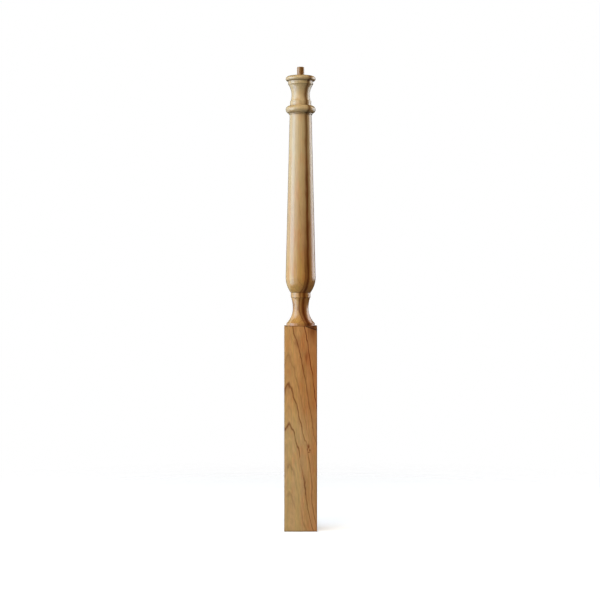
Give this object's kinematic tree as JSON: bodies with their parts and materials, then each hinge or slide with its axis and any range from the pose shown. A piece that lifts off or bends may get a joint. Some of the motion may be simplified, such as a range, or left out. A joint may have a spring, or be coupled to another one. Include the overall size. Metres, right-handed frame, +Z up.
{
  "type": "newel post",
  "caption": "Turned wooden newel post with a square foot, a tapered round shaft, a moulded cap and a round pin on top for a handrail fitting.",
  "frame": {"origin": "middle of the square foot, on the surface that the post stands on", "axes": "+Z up along the turning axis; X and Y square to the faces of the block"},
  "size_m": [0.077, 0.077, 1.0922],
  "materials": {
    "lacquered_wood": "clear satin lacquer over warm tan hardwood with fine brown grain lines"
  },
  "bodies": {
    "root": {"newel_post": "lacquered_wood"}
  },
  "joints": []
}
